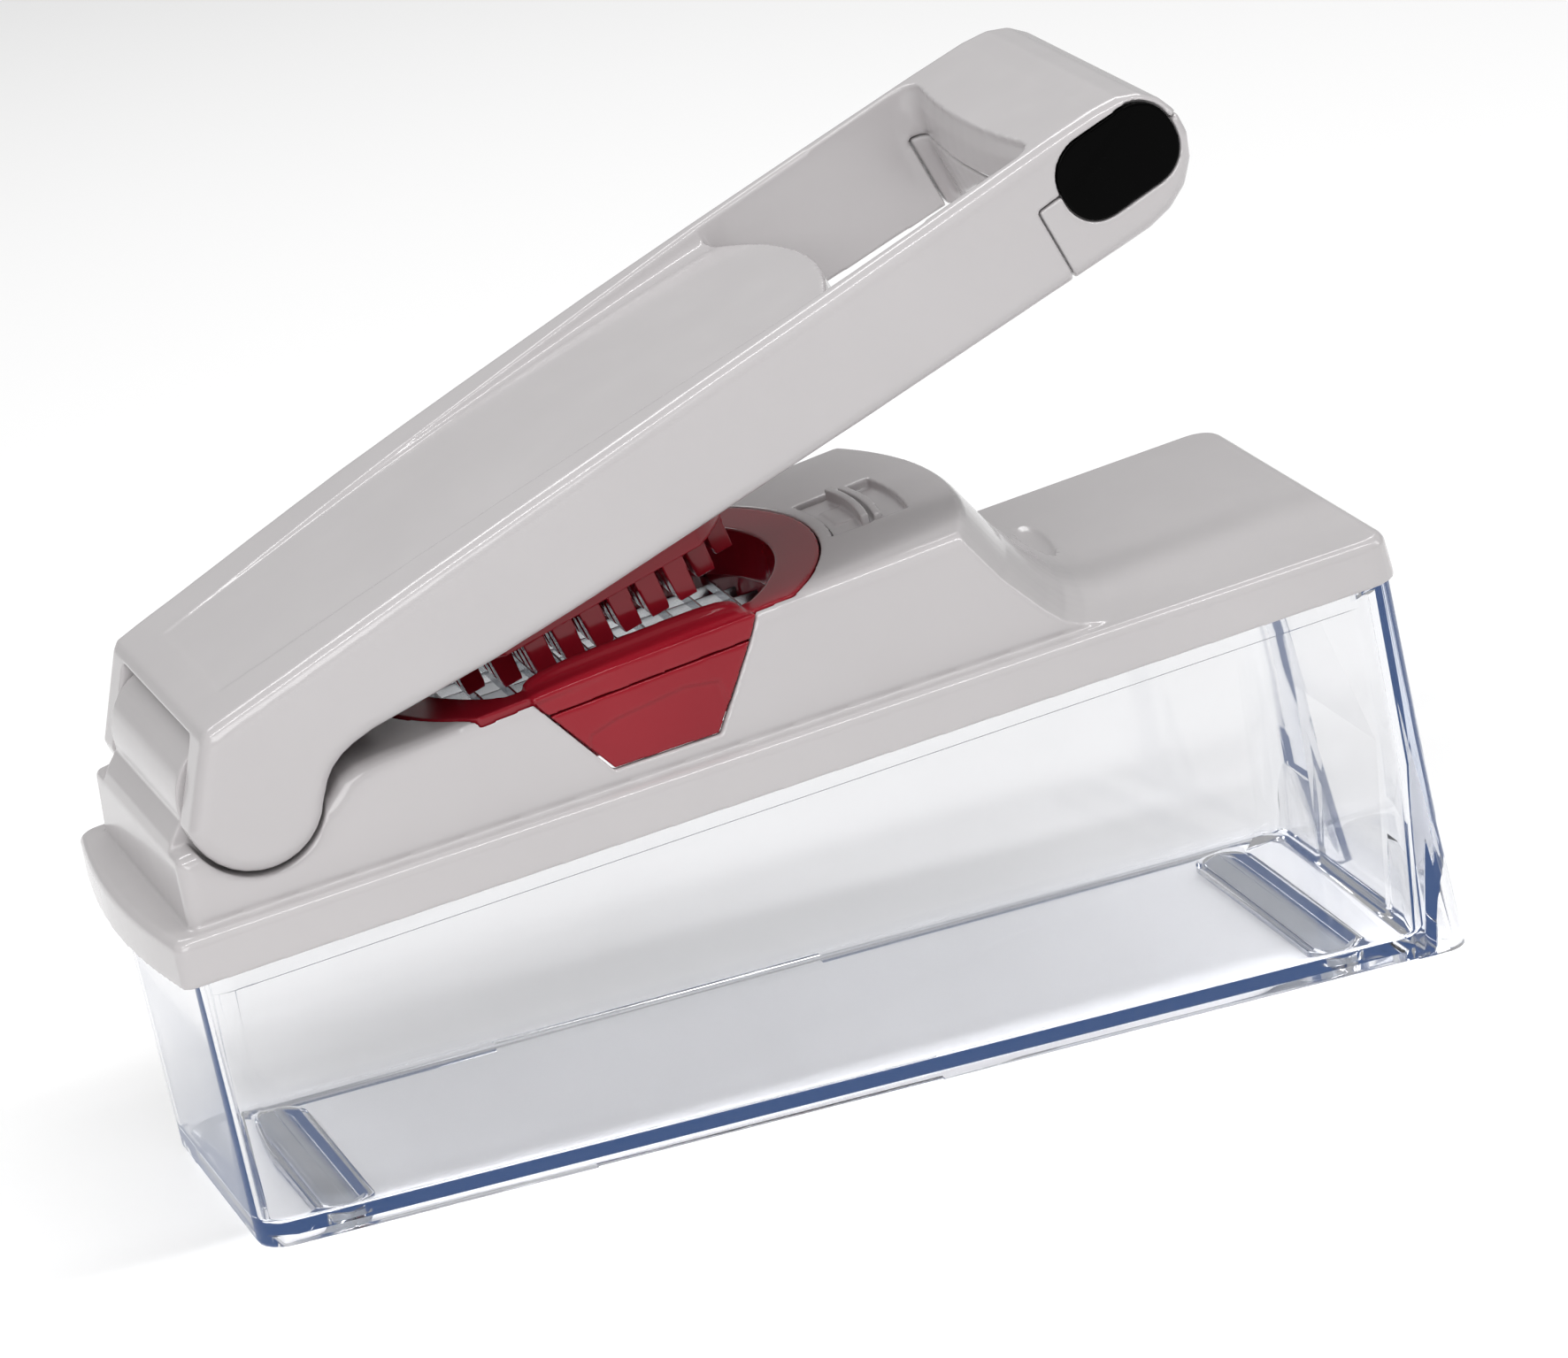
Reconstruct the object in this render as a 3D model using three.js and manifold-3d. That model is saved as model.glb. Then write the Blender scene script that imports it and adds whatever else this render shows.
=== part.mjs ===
// Hand-lever vegetable dicer: clear wedge-shaped container, lid with a raised
// housing, blade insert, latch, and a hinged press handle with a studded pusher.
//
// Units are millimetres, +Z up. X runs from the hinge end to the free end, and
// Y = 0 is the symmetry plane. Three local frames are used while building:
//   container frame  origin on the inner floor, under the lid's hinge-end edge
//   lid frame        (u, y, n): u along the lid, n normal to its top face
//   handle frame     (h, y, v): origin on the hinge axis, h along the handle
import * as THREE from "three";
import { mergeVertices } from "three/addons/utils/BufferGeometryUtils.js";
import Module from "manifold-3d";

const wasm = await Module();
wasm.setup();

const degrees = Math.PI / 180;

// ---------------------------------------------------------------- dimensions
const gap = 0.35;                 // running clearance between neighbouring pieces

// Lid plate and its skirt.
const lidLength = 285;
const lidHalfWidthHinge = 45.1;
const lidHalfWidthFree = 54.05;
const lidTilt = 5.37 * degrees;
const lidHeight = 71.3;           // lid top face above the inner floor, hinge end
const skirtDepth = 10.6;
const skirtWall = 2.5;
const skirtFlare = 0.6;
const lidPlateThickness = 2.5;
const endBow = 3.4;               // outward bow of the hinge-end edge in plan

// Raised housing on the lid.
const housingStart = 5.2;
const ledgeWidth = 4.8;           // flat ledge left beside the housing foot
const flankInset = 3.0;           // flank lean from foot to ridge
const ridgeRise = 0.042;          // slope of the housing top along u
const housingWall = 2.5;
const housingEdgeRadius = 3.0;

// Blade insert, centred on the housing.
const insertCentre = 115.5;
const insertTopAtCentre = 25.9;
const insertRadius = 54.2;
const insertHalfWidth = 39.4;
const mouthRadius = 44.2;
const mouthHalfWidth = 33.2;
const rampRadius = 86.5;          // plan radius of the ramp's top edge
const rampRun = 22;               // radial length of the ramp
const tabTopHalf = 26.9;
const tabKneeHalf = 24.2;
const tabBottomHalf = 12.1;
const tabKneeDrop = 4.2;
const tabBottomLevel = 4.2;
const seamDrop = 5.0;             // seam below the ridge, between the two frames
const lipHeight = 3.3;

// Blades.
const cellPitch = 7;
const bladeThickness = 0.5;
const bladeHeight = 2.8;
const bladeTop = 15.5;            // top edge of the upper layer, lid frame
const crossBladeReach = 5;        // blades each side of the middle one
const longBladeReach = 4;

// Hinge and handle.
const hingeU = 26.1;
const hingeN = 22.8;
const discRadius = 15.4;
const barrelRadius = 14.7;
const barrelHalfLength = 29.6;
const pocketRadius = 16.3;
const pinRadius = 4;
const restAngle = 16.5 * degrees; // handle above the lid as built
const closedAngle = 5.3 * degrees;
const handleWall = 2.6;
const handleEdgeRadius = 3.2;

// Pusher.
const studHeight = 10;
const studRoot = 5.3;
const studTipLength = 4.5;
const studWidth = 5.4;
const studTipLevel = 9.5;         // lid frame, handle closed
const studBias = 0.3;             // studs sit back so they swing in clear

// Container.
const containerWall = 2.4;
const floorThickness = 3;
const baseRingDepth = 5;
const stripDrop = 6;

// ------------------------------------------------------------ mesh utilities
function solid(geometry) {
  const plain = geometry.clone();
  plain.deleteAttribute("normal");
  plain.deleteAttribute("uv");
  const merged = mergeVertices(plain, 1e-5);
  const index = merged.index.array;
  return new wasm.Manifold(new wasm.Mesh({
    numProp: 3,
    vertProperties: new Float32Array(merged.attributes.position.array),
    triVerts: new Uint32Array(index),
  }));
}

function geometryOf(manifold) {
  const mesh = manifold.getMesh();
  const geometry = new THREE.BufferGeometry();
  geometry.setAttribute("position", new THREE.BufferAttribute(mesh.vertProperties, 3));
  geometry.setIndex(new THREE.BufferAttribute(mesh.triVerts, 1));
  const faceted = geometry.toNonIndexed();
  faceted.computeVertexNormals();
  return faceted;
}

// Splits a simple anticlockwise polygon into triangles that use every corner,
// cutting the fattest ear first so corners on straight edges keep an area.
function triangles(points) {
  const left = points.map((_, i) => i);
  const found = [];
  const area = (a, b, c) => (b.x - a.x) * (c.y - a.y) - (c.x - a.x) * (b.y - a.y);
  const fatness = (k) => {
    const a = points[left[(k + left.length - 1) % left.length]];
    const b = points[left[k]];
    const c = points[left[(k + 1) % left.length]];
    const size = area(a, b, c);
    const blocked = left.some((i) => {
      const p = points[i];
      return p !== a && p !== b && p !== c
        && area(a, b, p) >= 0 && area(b, c, p) >= 0 && area(c, a, p) >= 0;
    });
    const longest = Math.max(a.distanceTo(b), b.distanceTo(c), c.distanceTo(a));
    return blocked ? -Infinity : size / longest ** 2;
  };
  while (left.length > 3) {
    let best = 0;
    let bestValue = -Infinity;
    for (let k = 0; k < left.length; k += 1) {
      const value = fatness(k);
      if (value > bestValue) {
        best = k;
        bestValue = value;
      }
    }
    const before = left[(best + left.length - 1) % left.length];
    const after = left[(best + 1) % left.length];
    found.push([before, left[best], after]);
    left.splice(best, 1);
  }
  found.push([left[0], left[1], left[2]]);
  return found;
}

// Closed skin through rings of equal point count, capped at both ends. Each
// ring is a list of [x, y, z]; cap(point) gives the 2-D point used to
// triangulate the end caps.
function skin(rings, cap) {
  const flat = rings[0].map((p) => new THREE.Vector2(...cap(p)));
  if (THREE.ShapeUtils.area(flat) < 0) {
    return skin(rings.map((ring) => ring.slice().reverse()), cap);
  }
  const flatEnd = rings[rings.length - 1].map((p) => new THREE.Vector2(...cap(p)));
  const count = rings[0].length;
  const last = (rings.length - 1) * count;
  const index = [];
  for (let first = 0; first < last; first += count) {
    for (let i = 0; i < count; i += 1) {
      const a = first + i;
      const b = first + (i + 1) % count;
      index.push(a, b, b + count, a, b + count, a + count);
    }
  }
  for (const [a, b, c] of triangles(flat)) {
    index.push(a, c, b);
  }
  for (const [a, b, c] of triangles(flatEnd)) {
    index.push(last + a, last + b, last + c);
  }
  const geometry = new THREE.BufferGeometry();
  const positions = new THREE.Float32BufferAttribute(rings.flat().flat(), 3);
  geometry.setAttribute("position", positions);
  geometry.setIndex(index);
  const body = solid(geometry);
  return body.volume() < 0 ? solid(flipped(geometry)) : body;
}

function flipped(geometry) {
  const copy = geometry.clone();
  const index = copy.index.array;
  for (let i = 0; i < index.length; i += 3) {
    [index[i + 1], index[i + 2]] = [index[i + 2], index[i + 1]];
  }
  return copy;
}

// Moves every point of a closed outline inward by a distance (outline is
// anticlockwise).
function inset(outline, distance) {
  const count = outline.length;
  return outline.map((point, i) => {
    const before = outline[(i + count - 1) % count];
    const after = outline[(i + 1) % count];
    const inA = new THREE.Vector2(before[1] - point[1], point[0] - before[0]).normalize();
    const inB = new THREE.Vector2(point[1] - after[1], after[0] - point[0]).normalize();
    const mean = inA.clone().add(inB).normalize();
    const stretch = Math.min(1 / Math.max(mean.dot(inA), 0.2), 1.6);
    return [point[0] + mean.x * distance * stretch, point[1] + mean.y * distance * stretch];
  });
}

// Replaces each corner of a polygon with an arc of the given radius.
function rounded(corners, radii, steps = 5) {
  const count = corners.length;
  const outline = [];
  corners.forEach((corner, i) => {
    const radius = Array.isArray(radii) ? radii[i] : radii;
    const point = new THREE.Vector2(...corner);
    const before = new THREE.Vector2(...corners[(i + count - 1) % count]);
    const after = new THREE.Vector2(...corners[(i + 1) % count]);
    const toBefore = before.sub(point).normalize();
    const toAfter = after.sub(point).normalize();
    const half = Math.acos(THREE.MathUtils.clamp(toBefore.dot(toAfter), -1, 1)) / 2;
    if (radius <= 0 || half > 89 * degrees) {
      outline.push([point.x, point.y]);
      return;
    }
    const reach = radius / Math.tan(half);
    const start = point.clone().addScaledVector(toBefore, reach);
    const end = point.clone().addScaledVector(toAfter, reach);
    const middle = toBefore.clone().add(toAfter).normalize();
    const centre = point.clone().addScaledVector(middle, radius / Math.sin(half));
    const from = start.clone().sub(centre).angle();
    let sweep = end.clone().sub(centre).angle() - from;
    sweep -= Math.round(sweep / (2 * Math.PI)) * 2 * Math.PI;
    for (let s = 0; s <= steps; s += 1) {
      const angle = from + sweep * s / steps;
      outline.push([centre.x + radius * Math.cos(angle), centre.y + radius * Math.sin(angle)]);
    }
  });
  return outline;
}

// Side outline (a, b) swept across Y, with a half-width that may vary over the
// outline and rounded side edges.
function crossSwept(outline, halfWidth, edgeRadius = 0, steps = 4) {
  const rings = [];
  const turns = edgeRadius > 0 ? steps : 0;
  for (let s = 0; s <= turns; s += 1) {
    const angle = turns > 0 ? (s / turns) * Math.PI / 2 : Math.PI / 2;
    const inward = edgeRadius * (1 - Math.sin(angle));
    const across = edgeRadius * (1 - Math.cos(angle));
    const ring = inward > 1e-6 ? inset(outline, inward) : outline;
    rings.push(ring.map(([a, b]) => [a, -(halfWidth(a, b) - across), b]));
  }
  const mirrored = rings.slice().reverse().map((ring) => ring.map(([a, y, b]) => [a, -y, b]));
  return skin([...rings, ...mirrored], ([a, , b]) => [a, b]);
}

// Plan outline (x, y) lofted between levels: list of {z, outline}.
function plate(levels) {
  const rings = levels.map(({ z, outline }) => outline.map(([x, y]) => [
    x, y, typeof z === "function" ? z(x) : z,
  ]));
  return skin(rings, ([x, y]) => [x, y]);
}

function prism(outline, low, high) {
  return plate([{ z: low, outline }, { z: high, outline }]);
}

function box(lowX, highX, lowY, highY, lowZ, highZ) {
  return prism([[lowX, lowY], [highX, lowY], [highX, highY], [lowX, highY]], lowZ, highZ);
}

function circle(x, y, radius, count = 72) {
  const outline = [];
  for (let i = 0; i < count; i += 1) {
    const angle = 2 * Math.PI * i / count;
    outline.push([x + radius * Math.cos(angle), y + radius * Math.sin(angle)]);
  }
  return outline;
}

function cylinderAcross(a, b, radius, lowY, highY, count = 56) {
  const ring = (y) => circle(a, b, radius, count).map(([x, z]) => [x, y, z]);
  return skin([ring(lowY), ring(highY)], ([x, , z]) => [x, z]);
}

function bothSides(body) {
  return body.add(body.mirror([0, 1, 0]));
}

function union(bodies) {
  return bodies.reduce((sum, body) => sum.add(body));
}

// Interpolates a value from a list of [position, value] stations.
function along(stations, position) {
  if (position <= stations[0][0]) {
    return stations[0][1];
  }
  for (let i = 1; i < stations.length; i += 1) {
    const [from, low] = stations[i - 1];
    const [to, high] = stations[i];
    if (position <= to) {
      return low + (high - low) * (position - from) / (to - from);
    }
  }
  return stations[stations.length - 1][1];
}

// --------------------------------------------------------- placing of frames
const toLid = new THREE.Matrix4()
  .makeTranslation(0, 0, lidHeight)
  .multiply(new THREE.Matrix4().makeRotationY(-lidTilt));

function turnAboutHinge(angle) {
  return new THREE.Matrix4()
    .makeTranslation(hingeU, 0, hingeN)
    .multiply(new THREE.Matrix4().makeRotationY(-angle))
    .multiply(new THREE.Matrix4().makeTranslation(-hingeU, 0, -hingeN));
}

const handleToLid = new THREE.Matrix4()
  .makeTranslation(hingeU, 0, hingeN)
  .multiply(new THREE.Matrix4().makeRotationY(-restAngle));

function placed(body, matrix) {
  return body.transform(matrix.elements.slice());
}

const inContainerFrame = (body) => body;
const inLidFrame = (body) => placed(body, toLid);
const inHandleFrame = (body) => placed(body, toLid.clone().multiply(handleToLid));
const inClosedHandleFrame = (body) => placed(
  body,
  toLid.clone().multiply(turnAboutHinge(restAngle - closedAngle)),
);

// ------------------------------------------------------------------ lid plan
const lidHalfWidth = (u) => lidHalfWidthHinge
  + (lidHalfWidthFree - lidHalfWidthHinge) * u / lidLength;

// Plan outline of the lid, drawn in by a distance on every side.
function lidPlan(distance) {
  const start = distance;
  const end = lidLength - distance;
  const corners = [[end, -lidHalfWidth(end) + distance], [end, lidHalfWidth(end) - distance]];
  const radius = Math.max(7 - distance, 2);
  const outline = rounded(
    [...corners, [start, lidHalfWidth(start) - distance], [start, -lidHalfWidth(start) + distance]],
    [radius, radius, 3, 3],
  );
  const reach = lidHalfWidthHinge - 3;
  const bowed = [];
  outline.forEach(([u, y], i) => {
    bowed.push([u, y]);
    const next = outline[(i + 1) % outline.length];
    const onHingeEdge = Math.abs(u - start) < 1e-6 && Math.abs(next[0] - start) < 1e-6;
    if (onHingeEdge) {
      for (let s = 1; s < 12; s += 1) {
        const side = y + (next[1] - y) * s / 12;
        bowed.push([start - endBow * (1 - (side / reach) ** 2), side]);
      }
    }
  });
  return bowed;
}

// ------------------------------------------------------------- housing shape
const housingTop = (u) => insertTopAtCentre + ridgeRise * (u - insertCentre);
const footHalfWidth = (u) => lidHalfWidth(u) - ledgeWidth;

// Half-width of the housing at a height above the lid, leaning in to the ridge.
const flank = (u, n) => footHalfWidth(u) - flankInset * THREE.MathUtils.clamp(n / 26, -0.2, 1.1);

// Side outline of the housing without the ramp, drawn in by the wall thickness.
function housingOutline(wall) {
  const end = 232;
  const bottom = wall > 0 ? -8 : -1;
  const start = wall > 0 ? 47 : housingStart;
  const outline = [[start, bottom], [end, bottom], [end, housingTop(end) - wall]];
  if (wall > 0) {
    outline.push([start, housingTop(start) - wall]);
  } else {
    outline.push([56, housingTop(56)], [50, 22.7], [46, 21.2], [43.6, 19]);
    outline.push([41, 17], [20, 16.6], [12, 15.8], [housingStart + 1.5, 15.2]);
  }
  return outline;
}

// Ramp at the free end: everything outside an arc about the insert's centre is
// cut away down to the lid plate, with a soft foot.
function rampCutter(wall) {
  const profile = [
    [rampRadius - wall - 1, 60],
    [rampRadius - wall - 1, housingTop(rampRadius + insertCentre) - wall + 0.8],
    [rampRadius - wall + 0.8, housingTop(rampRadius + insertCentre) - wall - 1.2],
    [rampRadius - wall + 7.5, 16.5 - wall],
    [rampRadius - wall + 14.5, 7.2 - wall],
    [rampRadius - wall + 18, 3.4 - wall],
    [rampRadius - wall + rampRun, 1.2 - wall],
    [rampRadius - wall + rampRun + 5, 0 - wall],
    [190, 0 - wall],
    [190, 60],
  ];
  const steps = 40;
  const reach = 52 * degrees;
  const rings = [];
  for (let s = 0; s <= steps; s += 1) {
    const angle = -reach + 2 * reach * s / steps;
    rings.push(profile.map(([radius, n]) => [
      insertCentre + radius * Math.cos(angle), radius * Math.sin(angle), n,
    ]));
  }
  return skin(rings, ([x, y, z]) => [Math.hypot(x - insertCentre, y), z]);
}

function housingBody() {
  const outer = crossSwept(rounded(housingOutline(0), [0, 0, 0, 6, 4, 3, 0, 0, 0, 0, 1.8], 4),
    flank, housingEdgeRadius);
  return outer.subtract(rampCutter(0));
}

function housingHollow() {
  const inner = crossSwept(housingOutline(housingWall), (u, n) => flank(u, n) - housingWall);
  const behindBarrel = box(8.2, 40, -26, 26, -8, 4);
  return inner.subtract(rampCutter(housingWall)).add(behindBarrel);
}

// ----------------------------------------------------- insert shared outlines
function clippedCircle(radius, halfWidth, count = 96) {
  return circle(insertCentre, 0, radius, count).map(([u, y]) => [
    u, THREE.MathUtils.clamp(y, -halfWidth, halfWidth),
  ]);
}

function roundColumn(radius, halfWidth, low, high) {
  const disc = prism(circle(insertCentre, 0, radius, 96), low, high);
  const strip = box(insertCentre - 80, insertCentre + 80, -halfWidth, halfWidth, low - 1, high + 1);
  return disc.intersect(strip);
}

// Everything above the housing's sloping top, used to trim parts flush with it.
function aboveTop(offset) {
  return plate([
    { z: (u) => housingTop(u) + offset, outline: [[20, -90], [230, -90], [230, 90], [20, 90]] },
    { z: 90, outline: [[20, -90], [230, -90], [230, 90], [20, 90]] },
  ]);
}

// Tab-shaped column on one flank (front, y < 0), grown by a margin.
function tabColumn(margin, low, high) {
  const knee = housingTop(insertCentre) - tabKneeDrop;
  const edge = [
    [tabBottomHalf + margin, tabBottomLevel - margin],
    [tabKneeHalf + margin, knee],
    [tabTopHalf + margin, housingTop(insertCentre) + 0.5],
    [tabTopHalf + margin, 45],
  ];
  const right = edge.map(([reach, n]) => [insertCentre + 0.6 + reach, n]);
  const left = edge.map(([reach, n]) => [insertCentre + 0.6 - reach, n]).reverse();
  const outline = [...right, ...left];
  const column = skin(
    [outline.map(([u, n]) => [u, -70, n]), outline.map(([u, n]) => [u, -30, n])],
    ([u, , n]) => [u, n],
  );
  const slab = box(0, 240, -80, 0, low, high);
  return column.intersect(slab);
}

// ---------------------------------------------------------------- lid pieces
function lidHousing() {
  const top = lidPlan(1.6);
  const skirt = plate([
    { z: -skirtDepth, outline: lidPlan(-skirtFlare) },
    { z: -1.8, outline: lidPlan(-0.1) },
    { z: -0.7, outline: lidPlan(0.5) },
    { z: 0, outline: top },
  ]);
  const under = plate([
    { z: -skirtDepth - 2, outline: lidPlan(skirtWall - skirtFlare) },
    { z: -lidPlateThickness, outline: lidPlan(skirtWall) },
  ]);
  const barrel = cylinderAcross(hingeU, hingeN, barrelRadius, -barrelHalfLength, barrelHalfLength);
  const pedestal = box(hingeU, 50.6, -barrelHalfLength, barrelHalfLength, 2, 19.4);
  const barrelFillet = crossSwept([
    [hingeU, 6], [hingeU, 22], [12.5, 22], [11, 20.4], [9.5, 18.6], [8, 16.7], [6.9, 14.6], [8, 6],
  ].reverse(), () => barrelHalfLength);
  const seat = roundColumn(insertRadius + 3, 60, 11.5, 40)
    .intersect(housingEnvelope())
    .subtract(roundColumn(insertRadius - 1.6, 60, 0, 50));

  const latchPad = ringSector(latchInner - 2, latchOuter + 1.5, latchHalfWidth + 2, -5.4, -2);
  const mass = union([skirt, housingBody(), barrel, pedestal, barrelFillet]);
  const shell = mass.subtract(under).subtract(housingHollow()).add(seat).add(latchPad);

  const cuts = [];
  cuts.push(roundColumn(insertRadius + gap, insertHalfWidth + gap, 13.5, 50));
  cuts.push(roundColumn(insertRadius - 1.6, insertHalfWidth + gap, -20, 50));
  cuts.push(bothSides(tabColumn(gap, -20, 60)));
  cuts.push(bothSides(cylinderAcross(hingeU, hingeN, pocketRadius, barrelHalfLength, 60)));
  cuts.push(bothSides(cylinderAcross(hingeU, hingeN, pinRadius + gap, 14, 60, 32)));
  cuts.push(latchRecess());
  cuts.push(fingerDimple());
  return shell.subtract(union(cuts));
}

function housingEnvelope() {
  return crossSwept(housingOutline(0.01), (u, n) => flank(u, n) - 0.5).subtract(aboveTop(-0.5));
}

// Shallow drop-shaped dimple at the foot of the ramp.
function fingerDimple() {
  const ball = solid(new THREE.SphereGeometry(1, 32, 16))
    .scale([3.4, 15, 1.4])
    .rotate([0, 0, -7])
    .translate([225.4, 16, 0.25]);
  return ball;
}

// Recess with curved ends for the latch slider, and the slot under it.
const latchInner = 57.6;
const latchOuter = 75.5;
const latchHalfWidth = 13.6;
const latchTravel = 5;
const latchDepth = 2.2;           // recess below the housing top

function ringSector(inner, outer, halfWidth, low, high) {
  const outline = [];
  const steps = 10;
  for (let s = 0; s <= steps; s += 1) {
    const y = -halfWidth + 2 * halfWidth * s / steps;
    outline.push([insertCentre + Math.sqrt(outer ** 2 - y ** 2), y]);
  }
  for (let s = steps; s >= 0; s -= 1) {
    const y = -halfWidth + 2 * halfWidth * s / steps;
    outline.push([insertCentre + Math.sqrt(inner ** 2 - y ** 2), y]);
  }
  return plate([
    { z: (u) => housingTop(u) + low, outline },
    { z: (u) => housingTop(u) + high, outline },
  ]);
}

function latchRecess() {
  const pocket = ringSector(latchInner, latchOuter, latchHalfWidth, -latchDepth, 6);
  const slot = ringSector(latchInner + 2, latchInner + 12.5, 6, -9, 0);
  const window = box(insertCentre + insertRadius - 4, insertCentre + latchOuter - 4, -6.2, 6.2,
    16.2, 20.6);
  return union([pocket, slot, window]);
}

function latchSlider() {
  const body = ringSector(latchInner + gap, latchOuter - latchTravel - gap,
    latchHalfWidth - gap, -latchDepth + gap, -1.1);
  const tallRib = ringSector(latchInner + 7.2, latchInner + 9, latchHalfWidth - 0.9, -1.3, 1.7);
  const lowRib = ringSector(latchInner + 10.2, latchInner + 12, latchHalfWidth - 0.9, -1.3, 0.9);
  const arrow = latchArrow();
  const stem = ringSector(latchInner + 2 + gap, latchInner + 7, 5.4, -8.5, -0.8);
  const bolt = box(insertCentre + 53.2, insertCentre + latchInner + 7, -5.6, 5.6, 16.9, 20);
  return union([body, tallRib, lowRib, arrow, stem, bolt]);
}

// Low chevron that points the way the slider moves.
function latchArrow() {
  const tip = insertCentre + latchInner + 4.8;
  const chevron = [
    [tip, 0], [tip - 1.9, 2.6], [tip - 2.6, 2.6], [tip - 0.9, 0], [tip - 2.6, -2.6], [tip - 1.9, -2.6],
  ];
  return plate([
    { z: (u) => housingTop(u) - 1.4, outline: chevron },
    { z: (u) => housingTop(u) - 0.8, outline: chevron },
  ]);
}

function hingePin(side) {
  const pin = cylinderAcross(hingeU, hingeN, pinRadius, 14.5, 37.5, 32);
  return side < 0 ? pin.mirror([0, 1, 0]) : pin;
}

// ------------------------------------------------------------- blade insert
function insertUpperFrame() {
  const level = bladeTop + gap;
  const rim = roundColumn(insertRadius, insertHalfWidth, 13.9, 40);
  const tabs = bothSides(tabColumn(0, level, 40)
    .intersect(crossSwept(housingOutline(0.01), flank, 0)));
  const body = rim.add(tabs).subtract(aboveTop(0));
  const hollow = roundColumn(insertRadius - 2.2, insertHalfWidth - 2, 8, insertTopAtCentre - 4.2)
    .subtract(roundColumn(mouthRadius + 2.4, mouthHalfWidth + 2.4, 7, 60));
  const lips = bothSides(mouthLip());
  const mouth = plate([
    { z: level - 2.5, outline: clippedCircle(mouthRadius - 1.2, mouthHalfWidth - 0.6) },
    { z: insertTopAtCentre - 2, outline: clippedCircle(mouthRadius - 0.4, mouthHalfWidth - 0.2) },
    { z: insertTopAtCentre + 14, outline: clippedCircle(mouthRadius + 0.4, mouthHalfWidth) },
  ]);
  const below = box(0, 240, -70, 70, -20, level);
  const skirtOnly = roundColumn(insertRadius + 1, insertHalfWidth + 5, -21, level + 1)
    .subtract(roundColumn(insertRadius - 2.2, insertHalfWidth - 2, -22, level + 2));
  const belowInside = below.subtract(skirtOnly);
  const underSeam = bothSides(tabBelowSeam(0, -20));
  const boltNotch = box(insertCentre + 52.2, insertCentre + 60, -6.2, 6.2, 16.2, 20.6);
  return body.add(lips).subtract(union([hollow, mouth, belowInside, underSeam, boltNotch]));
}

// Raised lip along the mouth on one side, blending down to the ridge.
function mouthLip() {
  const top = housingTop(insertCentre);
  const ridge = -footHalfWidth(insertCentre) + flankInset;
  const edge = -mouthHalfWidth + 0.4;
  const section = [
    [ridge, top - 0.2], [ridge + 1.6, top + 0.7], [ridge + 3.4, top + 1], [ridge + 4.6, top + 1.5],
    [edge - 2.6, top + lipHeight - 0.6], [edge - 1.6, top + lipHeight],
    [edge, top + lipHeight], [edge, top - 1.2], [ridge, top - 1.2],
  ];
  const reach = [-25.5, -24, -21, -16, -8, 0, 8, 16, 21, 24, 25.5].map((du) => [
    du, 0.2 + 0.8 * Math.sqrt(1 - Math.abs(du / 25.6) ** 5),
  ]);
  const rings = reach.map(([du, share]) => section.map(([y, n]) => [
    insertCentre + 0.6 + du,
    y,
    n > top ? top + (n - top) * share + ridgeRise * du : n + ridgeRise * du,
  ]));
  return skin(rings, ([, y, n]) => [y, n]);
}

// The part of the front tab that belongs to the lower frame.
function tabBelowSeam(margin, low) {
  return plate([
    { z: low, outline: [[60, -80], [170, -80], [170, -insertHalfWidth + 2.4], [60, -insertHalfWidth + 2.4]] },
    {
      z: (u) => housingTop(u) - seamDrop - margin,
      outline: [[60, -80], [170, -80], [170, -insertHalfWidth + 2.4], [60, -insertHalfWidth + 2.4]],
    },
  ]);
}

function insertLowerFrame() {
  const low = bladeTop - 2 * bladeHeight - 2 * gap - 3.2;
  const ring = roundColumn(insertRadius - 2.6, insertHalfWidth - 2.4, low, bladeTop);
  const grips = bothSides(tabColumn(0, tabBottomLevel, 30)
    .intersect(crossSwept(housingOutline(0.01), flank, 0))
    .intersect(tabBelowSeam(gap, -20))
    .subtract(box(0, 240, -insertHalfWidth + 0.2, 0, bladeTop, 60)));
  const gripHollow = bothSides(tabColumn(-2.6, tabBottomLevel + 2.6, 40)
    .intersect(crossSwept(housingOutline(0.01), (u, n) => flank(u, n) - 2.6, 0))
    .intersect(box(0, 240, -60, -insertHalfWidth + 2.4, 0, bladeTop + 2))
    .subtract(box(0, 240, -insertHalfWidth - 0.2, 0, bladeTop - 2.4, bladeTop + 3))
    .add(box(insertCentre - 8, insertCentre + 8, -insertHalfWidth - 1, -insertHalfWidth + 2.4, 0, 9)));
  const bladeSeat = prism(clippedCircle(mouthRadius + 1.8, mouthHalfWidth + 2.2),
    bladeTop - 2 * bladeHeight - 2 * gap, 40);
  const drop = prism(clippedCircle(mouthRadius - 2.2, mouthHalfWidth - 1.8), -5, 40);
  const relief = bothSides(thumbRelief());
  return ring.add(grips).subtract(union([bladeSeat, drop, gripHollow, relief]));
}

// Shallow thumb relief on the front grip: the outer skin is set back a little
// under a stepped line.
function thumbRelief() {
  const outline = [
    [insertCentre - 17, 3], [insertCentre + 17.5, 3], [insertCentre + 16, 15.5],
    [insertCentre + 8, 16.6], [insertCentre - 8, 14.8], [insertCentre - 15, 13],
  ];
  const sheet = skin(
    [outline.map(([u, n]) => [u, -70, n]), outline.map(([u, n]) => [u, -30, n])],
    ([u, , n]) => [u, n],
  );
  return sheet.subtract(crossSwept(housingOutline(0.01), (u, n) => flank(u, n) - 0.4, 0));
}

function bladeHalfReach(offset) {
  return Math.sqrt((mouthRadius + 1.8 - gap) ** 2 - (Math.abs(offset) + bladeThickness) ** 2);
}

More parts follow.
